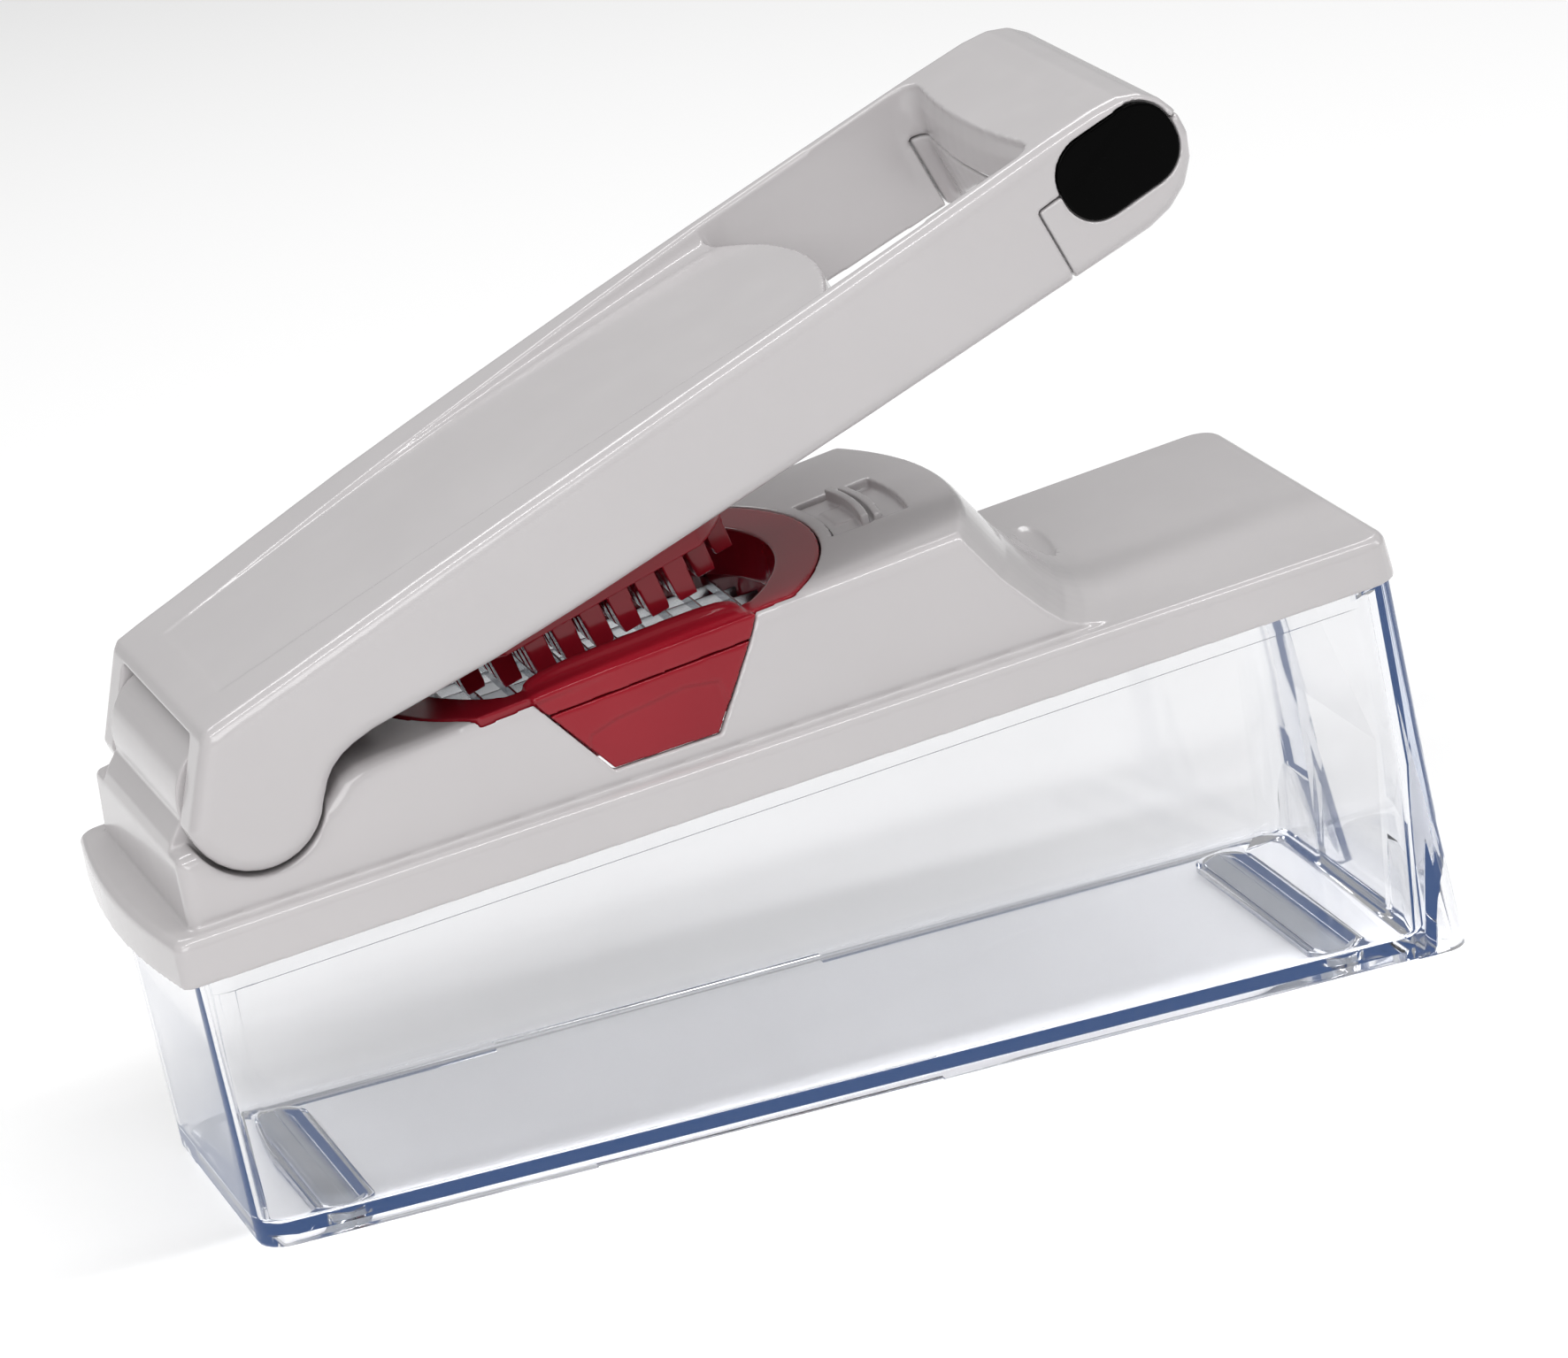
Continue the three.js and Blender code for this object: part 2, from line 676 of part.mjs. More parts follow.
function crossBlade(i) {
  const u = insertCentre + i * cellPitch;
  const reach = Math.min(mouthHalfWidth + 2.2 - gap, bladeHalfReach(i * cellPitch));
  return box(u - bladeThickness / 2, u + bladeThickness / 2, -reach, reach,
    bladeTop - bladeHeight, bladeTop);
}

function longBlade(j) {
  const y = j * cellPitch;
  const reach = bladeHalfReach(y);
  const top = bladeTop - bladeHeight - gap;
  return box(insertCentre - reach, insertCentre + reach, y - bladeThickness / 2,
    y + bladeThickness / 2, top - bladeHeight, top);
}

// -------------------------------------------------------------------- handle
const handleHalfWidths = [
  [-16, 41.2], [5, 42.3], [20, 43], [40, 44.1], [60, 44.9], [80, 45.4], [100, 45.8],
  [140, 46.2], [170, 45.9], [200, 45], [220, 44.3], [252, 43.4],
];
const handleTops = [
  [-2, 19.5], [5, 19.9], [20, 20.4], [40, 21.2], [60, 21.9], [80, 22.3], [100, 22.5],
  [130, 22.8], [220, 22.8], [232, 22.5],
];
const handleHalfWidth = (h) => along(handleHalfWidths, h);
const handleTop = (h) => along(handleTops, h);
const gripStart = 216.5;
const coverStart = 211.7;
const coverTop = 11;
const tongueSide = 158.5;
const tongueTip = 171;

// Side outline of the whole handle, anticlockwise.
function handleOutline() {
  const outline = [];
  for (let angle = 172; angle <= 329; angle += 12) {
    outline.push([discRadius * Math.cos(angle * degrees), discRadius * Math.sin(angle * degrees)]);
  }
  outline.push([14.3, -6.9], [16, -5], [18.4, -3.2], [21.5, -1.9], [25, -1.2], [30, -0.9]);
  outline.push([45, -2], [60, -3.1], [80, -3.9], [100, -4.3], [130, -4.9], [158, -5.6]);
  outline.push([185, -6.3], [206, -6.9], [224, -7.5], [232, -7.6], [238, -6.6]);
  outline.push([243.5, -3.9], [247.6, 0.6]);
  outline.push([249.8, 6], [249.9, 11.4], [248, 16], [244.6, 19.6], [240, 21.7]);
  for (const h of [234, 220, 190, 160, 130, 100, 80, 60, 40, 20, 5, -0.6]) {
    outline.push([h, handleTop(h)]);
  }
  outline.push([-2.4, 18.2]);
  return outline;
}

function handleBlank() {
  return crossSwept(handleOutline(), handleHalfWidth, handleEdgeRadius);
}

// Dished panel in the top, shallow at the hinge and deepest at the tongue.
const panelDip = (h) => 0.15 + 5.2 * (Math.max(h, 0) / 165) ** 2;
const panelHalfWidth = (h) => 24 + 15.2 * Math.min(h / 158, 1);

// Cross-section of the dished panel at one place along the handle: flat floor,
// hollow corner, and a rounded edge onto the rail.
function recessSection(h) {
  const top = handleTop(h);
  const dip = panelDip(h);
  const hollow = Math.min(0.7 * dip, 3.6);
  const crown = Math.min(0.28 * dip, 1.4);
  const half = panelHalfWidth(h);
  const side = [];
  for (const turn of [0, 22.5, 45, 67.5, 90]) {
    const angle = turn * degrees;
    side.push([half - hollow + hollow * Math.sin(angle), top - dip + hollow * (1 - Math.cos(angle))]);
  }
  for (const turn of [0, 30, 60, 90]) {
    const angle = turn * degrees;
    side.push([half + crown * (1 - Math.cos(angle)), top - crown + crown * Math.sin(angle)]);
  }
  side.push([half + crown, top + 6]);
  const mirrored = side.slice().reverse().map(([y, v]) => [-y, v]);
  return [...side, ...mirrored].map(([y, v]) => [h, y, v]);
}

function panelRecess() {
  const stops = [8, 25, 45, 65, 85, 105, 125, 140, 155, 170, 190];
  return skin(stops.map(recessSection), ([, y, v]) => [y, v]);
}

const tongueArc = (y) => tongueTip - (tongueTip - tongueSide) * (y / 39.2) ** 2;

function handHole() {
  const half = 39.4;
  const steps = 12;
  const tongue = [];
  const grip = [];
  for (let s = 0; s <= steps; s += 1) {
    const y = -half + 2 * half * s / steps;
    tongue.push([tongueArc(y), y]);
    grip.push([3.2 * (y / half) ** 2, y]);
  }
  const ring = (gripShift) => {
    const front = grip.map(([bow, y]) => [gripShift + bow, y]);
    const radii = front.map((_, i) => (i === 0 || i === steps ? 5.5 : 0));
    return rounded([...tongue.slice().reverse(), ...front], [...tongue.map(() => 0), ...radii], 6);
  };
  return plate([
    { z: -30, outline: ring(212) },
    { z: 8, outline: ring(212) },
    { z: 13, outline: ring(212.6) },
    { z: 18, outline: ring(214.2) },
    { z: 21.4, outline: ring(216) },
    { z: 40, outline: ring(217.4) },
  ]);
}

// Hollow under the top panel, open downward.
function handleHollow() {
  const start = 25;
  const outline = [[start, -20], [tongueSide - 3, -20]];
  for (const h of [tongueSide - 3, 140, 110, 80, 50, start]) {
    outline.push([h, handleTop(h) - panelDip(h) - handleWall]);
  }
  return crossSwept(outline, (h) => handleHalfWidth(h) - 3.4);
}

// Space between the cheeks, around the lid's barrel.
function barrelSpace() {
  const half = barrelHalfLength + gap + 0.3;
  const round = cylinderAcross(0, 0, barrelRadius + 1.1, -half, half);
  const opening = box(-25, 0, -half, half, -30, 17.4);
  const front = box(0, 26, -half, half, -30, 4);
  return union([round, opening, front]);
}

function sidePill(inward, grow) {
  const outline = rounded([
    [218 - grow, 0.5 - grow], [247.2 + grow, 0.5 - grow],
    [247.2 + grow, 19.8 + grow], [218 - grow, 19.8 + grow],
  ], 8.4 + grow, 8);
  const outer = crossSwept(outline, () => 60);
  const inner = crossSwept(handleOutline(), (h) => handleHalfWidth(h) - inward);
  return outer.subtract(inner);
}

function coverRegion(margin) {
  return box(coverStart - margin, 300, -80, 80, -40, coverTop + margin);
}

// Space inside the grip, kept a wall's thickness inside its rounded nose.
function gripHollow(low, high) {
  const outline = rounded([
    [gripStart + 2.6, low], [236, low], [244.8, Math.max(low, 3.4)],
    [246.4, 12], [240, high], [gripStart + 4, high],
  ], 1, 2);
  return crossSwept(outline, (h) => handleHalfWidth(h) - 6);
}

function handleShell() {
  const cuts = [
    panelRecess(),
    handHole(),
    handleHollow(),
    barrelSpace(),
    bothSides(cylinderAcross(0, 0, pinRadius + gap, 0, 38.2, 32)),
    coverRegion(gap),
    gripHollow(5, handleTop(230) - handleWall),
    sidePill(2.4, gap),
    carrierSheet(gap, -30, carrierThickness + gap),
  ];
  return handleBlank().subtract(union(cuts));
}

function gripCover() {
  const region = coverRegion(0);
  const cuts = [handHole(), gripHollow(-4.2, 14), sidePill(2.4, gap)];
  return handleBlank().intersect(region).subtract(union(cuts));
}

function gripPlug(side) {
  const crown = crossSwept(handleOutline(), (h) => handleHalfWidth(h) - 0.25);
  const plugs = sidePill(2.05, 0).intersect(crown);
  const half = side > 0 ? box(200, 270, 0, 60, -30, 40) : box(200, 270, -60, 0, -30, 40);
  return plugs.intersect(half);
}

// Underside of the carrier, parallel to the housing top once the handle is down.
const carrierLow = (h) => 0.8 - 0.047 * (h - 22);
const carrierThickness = 2.4;

function carrierOutline(grow) {
  const end = 157.8 + grow;
  return rounded([
    [36 - grow, -29 - grow], [end, -31 - grow], [end, 31 + grow], [36 - grow, 29 + grow],
  ], 4 + grow, 4);
}

function carrierSheet(grow, low, high) {
  return plate([
    { z: (h) => carrierLow(h) + low, outline: carrierOutline(grow) },
    { z: (h) => carrierLow(h) + high, outline: carrierOutline(grow) },
  ]);
}

// White carrier plate under the handle that holds the pusher.
function carrierPlate() {
  const sheet = carrierSheet(0, 0, carrierThickness);
  const posts = union([-1, 1].flatMap((side) => [58, 88, 118].map((h) => box(
    h - 5, h + 5, side * 18 - 4, side * 18 + 4,
    carrierLow(h) + 1, handleTop(h) - panelDip(h) - handleWall - 1.2,
  ))));
  return sheet.add(posts);
}

// -------------------------------------------------------------------- pusher
// Number of studs on each side of the middle for each row, from the middle row.
const studRows = [5, 5, 4, 3];

function stud(u, y) {
  const root = studTipLevel + studHeight + 0.5;
  const ring = (length, n) => [
    [u - length / 2, y - studWidth / 2, n], [u + length / 2, y - studWidth / 2, n],
    [u + length / 2, y + studWidth / 2, n], [u - length / 2, y + studWidth / 2, n],
  ];
  return skin([ring(studTipLength, studTipLevel), ring(studRoot, root)], ([x, z]) => [x, z]);
}

// Built in the lid frame with the handle closed, so the studs line up with the
// cells of the grid.
function pusher() {
  const low = studTipLevel + studHeight;
  const base = roundColumn(38.5, 29.6, low, 60).translate([-studBias, 0, 0]);
  const seatAt = (h) => new THREE.Vector2(h, carrierLow(h) - gap)
    .rotateAround(new THREE.Vector2(), closedAngle)
    .add(new THREE.Vector2(hingeU, hingeN));
  const near = seatAt(40);
  const far = seatAt(150);
  const seatLine = (u) => near.y + (far.y - near.y) * (u - near.x) / (far.x - near.x);
  const over = plate([
    { z: seatLine, outline: [[20, -80], [220, -80], [220, 80], [20, 80]] },
    { z: 90, outline: [[20, -80], [220, -80], [220, 80], [20, 80]] },
  ]);
  const studs = [];
  studRows.forEach((count, row) => {
    for (let column = 0; column < count; column += 1) {
      for (const sideU of [-1, 1]) {
        for (const sideY of [-1, 1]) {
          studs.push(stud(
            insertCentre - studBias + sideU * (column + 0.5) * cellPitch,
            sideY * (row + 0.5) * cellPitch,
          ));
        }
      }
    }
  });
  return base.subtract(over).add(union(studs));
}

// ----------------------------------------------------------------- container
// Inner faces of the container wall: where each end stands, and the half-width
// there. The corners of the free end swell out past the plain wall thickness.
const footFace = { start: 10.6, end: 283, hingeHalf: 37.4, freeHalf: 45.2 };
const shoulderFace = { start: 6.4, end: 281.6, hingeHalf: 40.2, freeHalf: 49 };
const neckFace = { start: 6.9, end: 278.7, hingeHalf: 40.4, freeHalf: 49.1 };
const cornerSwell = 1.8;
const footOffset = containerWall - 0.2;
const neckOffset = containerWall - 0.6;
const rimDrop = lidPlateThickness + 0.4;

// Plan outline that stands an offset outside a face.
function facePlan({ start, end, hingeHalf, freeHalf }, offset, radius) {
  return rounded([
    [start - offset, -hingeHalf - offset], [end + offset, -freeHalf - offset],
    [end + offset, freeHalf + offset], [start - offset, hingeHalf + offset],
  ], radius, 6);
}

const swollen = (face) => ({ ...face, end: face.end + cornerSwell });

// Face part-way up the wall, on the straight line between two others except at
// the free end, which it places itself.
function faceBetween(low, high, hingeShare, freeShare, end) {
  return {
    start: low.start + (high.start - low.start) * hingeShare,
    end,
    hingeHalf: low.hingeHalf + (high.hingeHalf - low.hingeHalf) * hingeShare,
    freeHalf: low.freeHalf + (high.freeHalf - low.freeHalf) * freeShare,
  };
}

const lidLevel = (x, n) => lidHeight + x * Math.tan(lidTilt) + n / Math.cos(lidTilt);
const rimLevel = (x) => lidLevel(x, -rimDrop);
const shoulderLevel = (x) => lidLevel(x, -skirtDepth - 0.6);

// Knee of the free end: the wall leans out to it from the shoulder and tucks
// back in below it, a little higher on the inside than on the outside.
const outerKnee = 27;
const innerKnee = 41;
const outerKneeFace = faceBetween(footFace, shoulderFace, 0.475, 0.34, 288.2);
const innerKneeFace = faceBetween(footFace, shoulderFace, 0.7, 0.48, 284.3);

function container() {
  const wallBody = plate([
    { z: -baseRingDepth, outline: facePlan(swollen(footFace), footOffset - 1.3, 6.2) },
    { z: -baseRingDepth + 0.5, outline: facePlan(swollen(footFace), footOffset - 0.4, 6.8) },
    { z: -baseRingDepth + 1.6, outline: facePlan(swollen(footFace), footOffset, 7.2) },
    { z: outerKnee, outline: facePlan(outerKneeFace, neckOffset + 0.2, 7.4) },
    { z: shoulderLevel, outline: facePlan(swollen(shoulderFace), neckOffset, 7.5) },
  ]);
  const neck = plate([
    { z: (x) => shoulderLevel(x) - 4, outline: facePlan(neckFace, neckOffset, 7.5) },
    { z: rimLevel, outline: facePlan(neckFace, neckOffset, 7.5) },
  ]);
  const cavity = plate([
    { z: 0, outline: facePlan(footFace, -2, 3.4) },
    { z: 0.6, outline: facePlan(footFace, -0.6, 4.6) },
    { z: 2, outline: facePlan(footFace, 0, 5) },
    { z: innerKnee, outline: facePlan(innerKneeFace, -0.3, 5.2) },
    { z: (x) => shoulderLevel(x) - 2.6, outline: facePlan(shoulderFace, -0.6, 5.5) },
  ]);
  const mouth = plate([
    { z: (x) => shoulderLevel(x) - 4.5, outline: facePlan(neckFace, -0.6, 5.5) },
    { z: 160, outline: facePlan(neckFace, -0.6, 5.5) },
  ]);
  const underside = prism(facePlan(footFace, -1.4, 5), -20, -floorThickness);
  const stripWalls = union([stripSeat(30, 1.6 + gap), stripSeat(265, 1.6 + gap)]);
  const stripPockets = union([stripPocket(30), stripPocket(265)]);
  const feetGaps = union([
    box(-20, 30, -22, 22, -20, -floorThickness - 0.4),
    box(85, 166, -80, 80, -20, -baseRingDepth + 0.8),
  ]);
  const body = union([wallBody, neck, bothSides(toe(wallBody))]);
  return body
    .subtract(union([cavity, mouth, underside, feetGaps, endPanelRecess()]))
    .add(stripWalls)
    .subtract(stripPockets);
}

// Clears the outside of the free end between its swollen corners, leaving the
// plain wall thickness there.
function endPanelRecess() {
  const face = [[283.6, 90], [286.4, innerKnee], [285.5, -20]];
  const halfWidths = [[-5, 17.5], [25, 22], [50, 25], [84, 30]];
  const spread = 0.3;
  return crossSwept([...face, [300, -20], [300, 90]],
    (x, z) => along(halfWidths, z) + spread * (x - face[2][0]));
}

// Wedge-shaped toe, hollow from below, that steadies one bottom corner of the
// free end. It starts inside the wall at the knee and carries the lean of the
// rounded corner on down to the table.
const toeTip = 293.7;
const toeNearSide = 20.6;
const toeSkin = 1.8;

function toe(wallBody) {
  const sideOffset = 1.6;
  const envelope = (skinThickness) => plate([
    {
      z: -baseRingDepth - skinThickness,
      outline: facePlan({ ...footFace, end: toeTip - sideOffset }, sideOffset - skinThickness, 6.5),
    },
    { z: outerKnee, outline: facePlan(outerKneeFace, neckOffset - 0.1 - skinThickness, 7) },
  ]);
  const corner = (near, top) => box(outerKneeFace.end - 8, 300, -60, -near, -20, top);
  const hollow = envelope(toeSkin)
    .intersect(corner(toeNearSide + toeSkin, outerKnee - 4))
    .subtract(wallBody);
  return envelope(0).intersect(corner(toeNearSide, outerKnee)).subtract(hollow);
}

function stripOutline(x, grow) {
  const half = 38;
  return rounded([
    [x - 5 - grow, -half - grow], [x + 5 + grow, -half - grow],
    [x + 5 + grow, half + grow], [x - 5 - grow, half + grow],
  ], 4.9 + grow, 8).map(([px, py]) => [px, py * (x < 100 ? 0.86 : 1)]);
}

const stripSeat = (x, grow) => prism(stripOutline(x, grow), -baseRingDepth + 0.6, -1);
const stripPocket = (x) => prism(stripOutline(x, gap), -20, -floorThickness + 1.2);

function footStrip(x) {
  return prism(stripOutline(x, 0), -stripDrop, -floorThickness + 1.2 - gap);
}

// ----------------------------------------------------------------- materials
const shellPlastic = new THREE.MeshStandardMaterial({ name: "shell", color: 0xc9c5c6 });
const redPlastic = new THREE.MeshStandardMaterial({ name: "red", color: 0x9b1c2b });
const blackPlastic = new THREE.MeshStandardMaterial({ name: "black", color: 0x0a0a0a });
const clearPlastic = new THREE.MeshStandardMaterial({
  name: "clear", color: 0xdfe6ee, transparent: true, opacity: 0.35,
});
const steel = new THREE.MeshStandardMaterial({ name: "steel", color: 0xc4c6c8 });
const silicone = new THREE.MeshStandardMaterial({ name: "silicone", color: 0xa9afb8 });

// ------------------------------------------------------------------ assembly
const dicer = new THREE.Group();
dicer.name = "vegetable_dicer";

function addPiece(name, body, material) {
  const mesh = new THREE.Mesh(geometryOf(body), material.clone());
  mesh.name = name;
  dicer.add(mesh);
}

addPiece("container", inContainerFrame(container()), clearPlastic);
addPiece("foot_strip_hinge_end", inContainerFrame(footStrip(30)), silicone);
addPiece("foot_strip_free_end", inContainerFrame(footStrip(265)), silicone);
addPiece("lid_housing", inLidFrame(lidHousing()), shellPlastic);
addPiece("hinge_pin_front", inLidFrame(hingePin(-1)), steel);
addPiece("hinge_pin_back", inLidFrame(hingePin(1)), steel);
addPiece("latch_slider", inLidFrame(latchSlider()), shellPlastic);
addPiece("insert_upper_frame", inLidFrame(insertUpperFrame()), redPlastic);
addPiece("insert_lower_frame", inLidFrame(insertLowerFrame()), redPlastic);
for (let i = -crossBladeReach; i <= crossBladeReach; i += 1) {
  const number = String(i + crossBladeReach + 1).padStart(2, "0");
  addPiece(`cross_blade_${number}`, inLidFrame(crossBlade(i)), steel);
}
for (let j = -longBladeReach; j <= longBladeReach; j += 1) {
  addPiece(`long_blade_${j + longBladeReach + 1}`, inLidFrame(longBlade(j)), steel);
}
addPiece("handle_shell", inHandleFrame(handleShell()), shellPlastic);
addPiece("carrier_plate", inHandleFrame(carrierPlate()), shellPlastic);
addPiece("grip_cover", inHandleFrame(gripCover()), shellPlastic);
addPiece("grip_plug_front", inHandleFrame(gripPlug(-1)), blackPlastic);
addPiece("grip_plug_back", inHandleFrame(gripPlug(1)), blackPlastic);
addPiece("pusher", inClosedHandleFrame(pusher()), redPlastic);

// Origin: middle of the object's footprint box, at the height of its feet.
const whole = new THREE.Box3().setFromObject(dicer);
const centre = whole.getCenter(new THREE.Vector3());
for (const piece of dicer.children) {
  piece.geometry.translate(-centre.x, -centre.y, -whole.min.z);
}

export default dicer;
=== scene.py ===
"""Blender scene of the hand-lever vegetable dicer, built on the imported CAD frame."""
import math

import bpy
from mathutils import Matrix, Vector


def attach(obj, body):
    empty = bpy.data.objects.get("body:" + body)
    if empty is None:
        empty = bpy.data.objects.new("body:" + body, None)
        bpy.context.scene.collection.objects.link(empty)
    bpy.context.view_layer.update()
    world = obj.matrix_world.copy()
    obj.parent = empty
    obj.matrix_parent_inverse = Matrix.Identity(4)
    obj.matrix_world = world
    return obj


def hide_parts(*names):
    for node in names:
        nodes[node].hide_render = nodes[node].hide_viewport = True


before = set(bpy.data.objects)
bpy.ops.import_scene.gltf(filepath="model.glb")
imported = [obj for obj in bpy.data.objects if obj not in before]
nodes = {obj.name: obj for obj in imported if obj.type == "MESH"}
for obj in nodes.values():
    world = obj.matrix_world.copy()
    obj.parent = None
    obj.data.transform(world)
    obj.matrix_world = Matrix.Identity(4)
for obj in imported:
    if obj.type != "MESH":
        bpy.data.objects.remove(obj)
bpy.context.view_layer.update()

MM = 0.001

# Slopes of the parts at rest, over the horizontal.
LID_TILT = math.radians(5.37)
HANDLE_TILT = math.radians(21.87)
PUSHER_TILT = math.radians(16.57)


# ---------------------------------------------------------------- camera
CAMERA_PLACE = Vector((-0.41862, -1.49731, 0.60219))
CAMERA_AZIMUTH = math.radians(16.0)
CAMERA_DROP = math.radians(18.3)
CAMERA_ROLL = math.radians(-8.9)
CAMERA_LENS = 168.17
CAMERA_REACH = 50.0
SENSOR_WIDTH = 36.0


def add_camera():
    flat = math.cos(CAMERA_DROP)
    forward = Vector((
        math.sin(CAMERA_AZIMUTH) * flat,
        math.cos(CAMERA_AZIMUTH) * flat,
        -math.sin(CAMERA_DROP),
    ))
    level = Vector((math.cos(CAMERA_AZIMUTH), -math.sin(CAMERA_AZIMUTH), 0.0))
    above = level.cross(forward)
    right = level * math.cos(CAMERA_ROLL) + above * math.sin(CAMERA_ROLL)
    up = above * math.cos(CAMERA_ROLL) - level * math.sin(CAMERA_ROLL)
    data = bpy.data.cameras.new("camera")
    data.lens = CAMERA_LENS
    data.sensor_width = SENSOR_WIDTH
    data.clip_end = CAMERA_REACH
    camera = bpy.data.objects.new("camera", data)
    turn = Matrix((right, up, -forward)).transposed().to_4x4()
    camera.matrix_world = Matrix.Translation(CAMERA_PLACE) @ turn
    bpy.context.scene.collection.objects.link(camera)
    bpy.context.scene.camera = camera


# ---------------------------------------------------------------- studio
WORLD_STRENGTH = 0.38
LIGHT_TARGET = (0.0, 0.0, 0.1)
# Each light: where it stands, its width and height, and its power.
LIGHTS = {
    "key": ((-0.75, -1.25, 0.85), (1.0, 0.9), 10.0),
    "strip": ((0.0, -0.42, 1.25), (2.4, 0.1), 11.0),
    "back": ((0.2, 1.1, 1.15), (1.6, 0.3), 7.0),
    "side": ((1.5, -0.2, 0.7), (0.5, 0.8), 4.0),
}
FLOOR_HALF = 12.0
FLOOR_COLOUR = (0.93, 0.93, 0.93)
FLOOR_GLOW = 0.06


def add_light(name, place, size, power):
    data = bpy.data.lights.new(name, "AREA")
    data.shape = "RECTANGLE"
    data.size, data.size_y = size
    data.energy = power
    light = bpy.data.objects.new(name, data)
    aim = Vector(LIGHT_TARGET) - Vector(place)
    light.rotation_euler = aim.to_track_quat("-Z", "Y").to_euler()
    light.location = place
    bpy.context.scene.collection.objects.link(light)


def add_floor():
    half = FLOOR_HALF
    corners = [(-half, -half, 0), (half, -half, 0), (half, half, 0), (-half, half, 0)]
    mesh = bpy.data.meshes.new("floor")
    mesh.from_pydata(corners, [], [(0, 1, 2, 3)])
    floor = bpy.data.objects.new("floor", mesh)
    bpy.context.scene.collection.objects.link(floor)
    shader = Shader("floor_paper")
    shader.set(Base_Color=(*FLOOR_COLOUR, 1.0), Roughness=0.9, Specular=0.1)
    shader.set(Emission_Color=(1.0, 1.0, 1.0, 1.0), Emission_Strength=FLOOR_GLOW)
    mesh.materials.append(shader.material)


def add_studio():
    scene = bpy.context.scene
    scene.view_settings.view_transform = "Standard"
    world = bpy.data.worlds.new("studio")
    scene.world = world
    world.use_nodes = True
    backdrop = world.node_tree.nodes["Background"]
    backdrop.inputs["Color"].default_value = (1.0, 1.0, 1.0, 1.0)
    backdrop.inputs["Strength"].default_value = WORLD_STRENGTH
    for name, (place, size, power) in LIGHTS.items():
        add_light(name, place, size, power)
    add_floor()


# ------------------------------------------------------------- materials
# Sockets whose name in Blender differs from the word used here.
SOCKETS = {"Specular": "Specular IOR Level"}

# Sockets of the Mix node in colour mode, which have no unique names.
MIX_FACTOR = 0
MIX_FIRST = 6
MIX_SECOND = 7
MIX_RESULT = 2

# Where the values of the noise mostly lie.
NOISE_LOW = 0.3
NOISE_HIGH = 0.7

BUMP_STRENGTH = 0.3
WAVE_DEPTH = 0.06 * MM

CLEAR_DARK = (0.925, 0.925, 0.93)
CLEAR_LIGHT = (0.945, 0.945, 0.95)
LAMP_THROUGH = (0.96, 0.96, 0.965)
# Painted glow: a blue emission shown in place of light seen after several glossy bounces in the
# clear plastic.
PAINTED_EDGE_GLOW_BLUE = (0.035, 0.085, 0.22)
GLOW_AFTER_BOUNCES = 2.5
INSIDE_BLUE = (0.35, 0.5, 0.8)
INSIDE_DENSITY = 5.0


class Shader:
    """A Principled material with object-space noise for colour, gloss and bump."""

    def __init__(self, name):
        self.material = bpy.data.materials.new(name)
        self.material.use_nodes = True
        self.tree = self.material.node_tree
        self.principled = self.tree.nodes["Principled BSDF"]
        self.place = self.tree.nodes.new("ShaderNodeTexCoord").outputs["Object"]

    def set(self, **values):
        for name, value in values.items():
            name = SOCKETS.get(name, name.replace("_", " "))
            self.principled.inputs[name].default_value = value

    def noise(self, scale, detail=3.0):
        node = self.tree.nodes.new("ShaderNodeTexNoise")
        node.inputs["Scale"].default_value = scale
        node.inputs["Detail"].default_value = detail
        self.tree.links.new(self.place, node.inputs["Vector"])
        return node.outputs["Fac"]

    def ranged_noise(self, scale, low, high):
        node = self.tree.nodes.new("ShaderNodeMapRange")
        node.inputs["From Min"].default_value = NOISE_LOW
        node.inputs["From Max"].default_value = NOISE_HIGH
        node.inputs["To Min"].default_value = low
        node.inputs["To Max"].default_value = high
        self.tree.links.new(self.noise(scale), node.inputs["Value"])
        return node.outputs["Result"]

    def mottle(self, scale, dark, light):
        node = self.tree.nodes.new("ShaderNodeMix")
        node.data_type = "RGBA"
        node.inputs[MIX_FIRST].default_value = (*dark, 1.0)
        node.inputs[MIX_SECOND].default_value = (*light, 1.0)
        self.tree.links.new(self.ranged_noise(scale, 0.0, 1.0), node.inputs[MIX_FACTOR])
        self.tree.links.new(node.outputs[MIX_RESULT], self.principled.inputs["Base Color"])

    def vary_roughness(self, scale, low, high):
        self.tree.links.new(self.ranged_noise(scale, low, high), self.principled.inputs["Roughness"])

    def ripple(self, scale, depth):
        node = self.tree.nodes.new("ShaderNodeBump")
        node.inputs["Strength"].default_value = BUMP_STRENGTH
        node.inputs["Distance"].default_value = depth
        self.tree.links.new(self.noise(scale, detail=1.0), node.inputs["Height"])
        self.tree.links.new(node.outputs["Normal"], self.principled.inputs["Normal"])


def gloss_plastic(name, dark, light, roughness, specular=0.5, coat=0.35):
    shader = Shader(name)
    shader.set(Specular=specular, Coat_Weight=coat, Coat_Roughness=0.06)
    shader.mottle(18.0, dark, light)
    shader.vary_roughness(90.0, roughness - 0.03, roughness + 0.04)
    shader.ripple(55.0, WAVE_DEPTH)
    return shader.material


def white_plastic():
    return gloss_plastic("shell_plastic", (0.48, 0.46, 0.465), (0.5, 0.48, 0.485), 0.2)


def red_plastic():
    dark = (0.22, 0.006, 0.014)
    light = (0.27, 0.009, 0.018)
    return gloss_plastic("red_plastic", dark, light, 0.14, specular=0.3, coat=0.1)


def black_plastic():
    dark = (0.0008, 0.0008, 0.0008)
    light = (0.0015, 0.0015, 0.0015)
    return gloss_plastic("black_plastic", dark, light, 0.2, specular=0.04, coat=0.0)


def mixed(tree, factor, first, second):
    node = tree.nodes.new("ShaderNodeMixShader")
    tree.links.new(factor, node.inputs["Fac"])
    tree.links.new(first, node.inputs[1])
    tree.links.new(second, node.inputs[2])
    return node.outputs["Shader"]


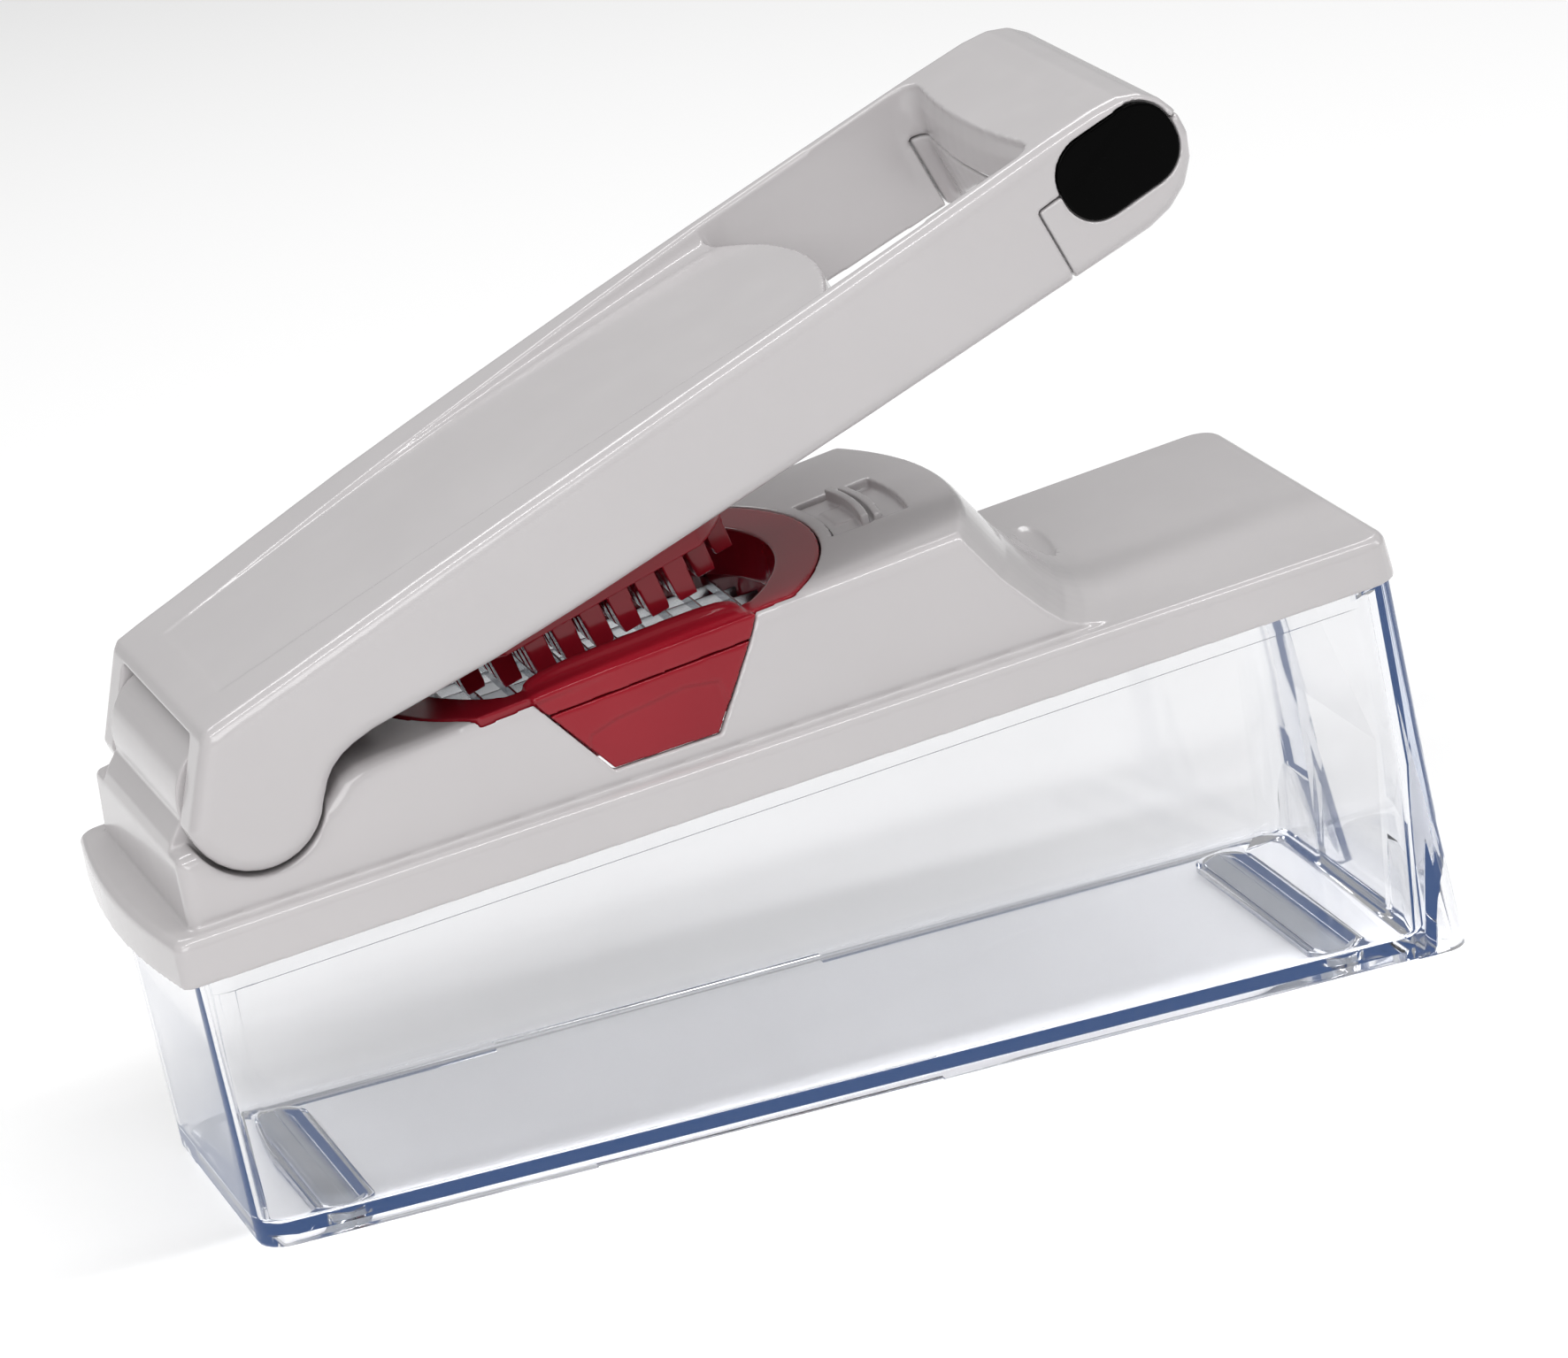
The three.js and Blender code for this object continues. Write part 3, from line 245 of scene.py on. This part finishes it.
def clear_plastic():
    """Clear moulded plastic. Lamps shine through it, and where the eye arrives after
    several glossy bounces in it a painted deep blue glow stands in for a sheet's edge."""
    shader = Shader("clear_plastic")
    shader.set(Transmission_Weight=1.0, IOR=1.46)
    shader.mottle(25.0, CLEAR_DARK, CLEAR_LIGHT)
    shader.vary_roughness(60.0, 0.01, 0.05)
    tree = shader.tree
    ray = tree.nodes.new("ShaderNodeLightPath")
    # Painted glow: a deep blue emission where the ray has made several glossy bounces.
    painted_glow = tree.nodes.new("ShaderNodeEmission")
    painted_glow.inputs["Color"].default_value = (*PAINTED_EDGE_GLOW_BLUE, 1.0)
    many = tree.nodes.new("ShaderNodeMath")
    many.operation = "GREATER_THAN"
    many.inputs[1].default_value = GLOW_AFTER_BOUNCES
    tree.links.new(ray.outputs["Glossy Depth"], many.inputs[0])
    lamp = tree.nodes.new("ShaderNodeBsdfTransparent")
    lamp.inputs["Color"].default_value = (*LAMP_THROUGH, 1.0)
    seen = shader.principled.outputs["BSDF"]
    seen = mixed(tree, many.outputs["Value"], seen, painted_glow.outputs["Emission"])
    surface = mixed(tree, ray.outputs["Is Shadow Ray"], seen, lamp.outputs["BSDF"])
    inside = tree.nodes.new("ShaderNodeVolumeAbsorption")
    inside.inputs["Color"].default_value = (*INSIDE_BLUE, 1.0)
    inside.inputs["Density"].default_value = INSIDE_DENSITY
    output = tree.nodes["Material Output"]
    tree.links.new(surface, output.inputs["Surface"])
    tree.links.new(inside.outputs["Volume"], output.inputs["Volume"])
    return shader.material


def steel():
    shader = Shader("blade_steel")
    shader.set(Metallic=1.0)
    shader.mottle(30.0, (0.50, 0.51, 0.52), (0.62, 0.63, 0.64))
    shader.vary_roughness(70.0, 0.2, 0.32)
    return shader.material


def silicone():
    shader = Shader("foot_silicone")
    shader.set(Transmission_Weight=0.5, IOR=1.41)
    shader.mottle(60.0, (0.42, 0.45, 0.50), (0.5, 0.53, 0.58))
    shader.vary_roughness(200.0, 0.35, 0.5)
    return shader.material


# ---------------------------------------------------------------- meshes
MOST_TRIANGLES = 180000
SMOOTH_SHARE = 0.5
WELD_GAP = 0.005 * MM
SHARP_ANGLE = math.radians(28.0)
FACE_AREA_WEIGHT = 100


def apply_modifiers(piece):
    depsgraph = bpy.context.evaluated_depsgraph_get()
    made = bpy.data.meshes.new_from_object(piece.evaluated_get(depsgraph))
    piece.modifiers.clear()
    piece.data = made


def hand_over(piece, node, body, material):
    """The piece takes the CAD node's place on its body."""
    piece.data.materials.clear()
    piece.data.materials.append(material)
    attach(piece, body)
    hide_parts(node)


def moulded(node, body, material, tilt, voxel=0.5, rounds=6):
    """A copy of a CAD node with softly rounded edges, as injection moulding leaves them.

    It is remeshed in voxels of that many millimetres, square to its own slope."""
    mesh = nodes[node].data.copy()
    mesh.transform(Matrix.Rotation(tilt, 4, "Y"))
    piece = bpy.data.objects.new(node + "_moulded", mesh)
    bpy.context.scene.collection.objects.link(piece)
    remesh = piece.modifiers.new("remesh", "REMESH")
    remesh.mode = "VOXEL"
    remesh.voxel_size = voxel * MM
    smooth = piece.modifiers.new("smooth", "SMOOTH")
    smooth.factor = SMOOTH_SHARE
    smooth.iterations = rounds
    apply_modifiers(piece)
    triangles = 2 * len(piece.data.polygons)
    if triangles > MOST_TRIANGLES:
        thin = piece.modifiers.new("thin", "DECIMATE")
        thin.ratio = MOST_TRIANGLES / triangles
        apply_modifiers(piece)
    piece.data.transform(Matrix.Rotation(-tilt, 4, "Y"))
    piece.data.shade_smooth()
    hand_over(piece, node, body, material)


def crisp(node, body, material):
    """A copy of a CAD node that shades smoothly round its curves and stays sharp at its edges."""
    piece = bpy.data.objects.new(node + "_crisp", nodes[node].data.copy())
    bpy.context.scene.collection.objects.link(piece)
    weld = piece.modifiers.new("weld", "WELD")
    weld.merge_threshold = WELD_GAP
    apply_modifiers(piece)
    piece.data.shade_smooth()
    piece.data.set_sharp_from_angle(angle=SHARP_ANGLE)
    level = piece.modifiers.new("level", "WEIGHTED_NORMAL")
    level.weight = FACE_AREA_WEIGHT
    level.keep_sharp = True
    hand_over(piece, node, body, material)


def kept(node, material):
    """The CAD node itself, shown in this material."""
    for material_slot in nodes[node].material_slots:
        material_slot.material = material


# ------------------------------------------------------------- the dicer
add_camera()
add_studio()

white = white_plastic()
red = red_plastic()
black = black_plastic()
clear = clear_plastic()
blade = steel()
feet = silicone()

for name in ("handle_shell", "grip_cover", "carrier_plate"):
    moulded(name, "handle_body", white, HANDLE_TILT)
for name in ("grip_plug_front", "grip_plug_back"):
    moulded(name, "handle_body", black, HANDLE_TILT, voxel=0.25, rounds=4)
moulded("pusher", "handle_body", red, PUSHER_TILT, voxel=0.4, rounds=3)
moulded("lid_housing", "lid_body", white, LID_TILT, voxel=0.4, rounds=8)
moulded("latch_slider", "latch_body", white, LID_TILT, voxel=0.25, rounds=10)
for name in ("insert_upper_frame", "insert_lower_frame"):
    moulded(name, "lid_body", red, LID_TILT, voxel=0.35, rounds=4)

crisp("container", "container_body", clear)

for name in nodes:
    if "blade" in name or "pin" in name:
        kept(name, blade)
    elif "strip" in name:
        kept(name, feet)
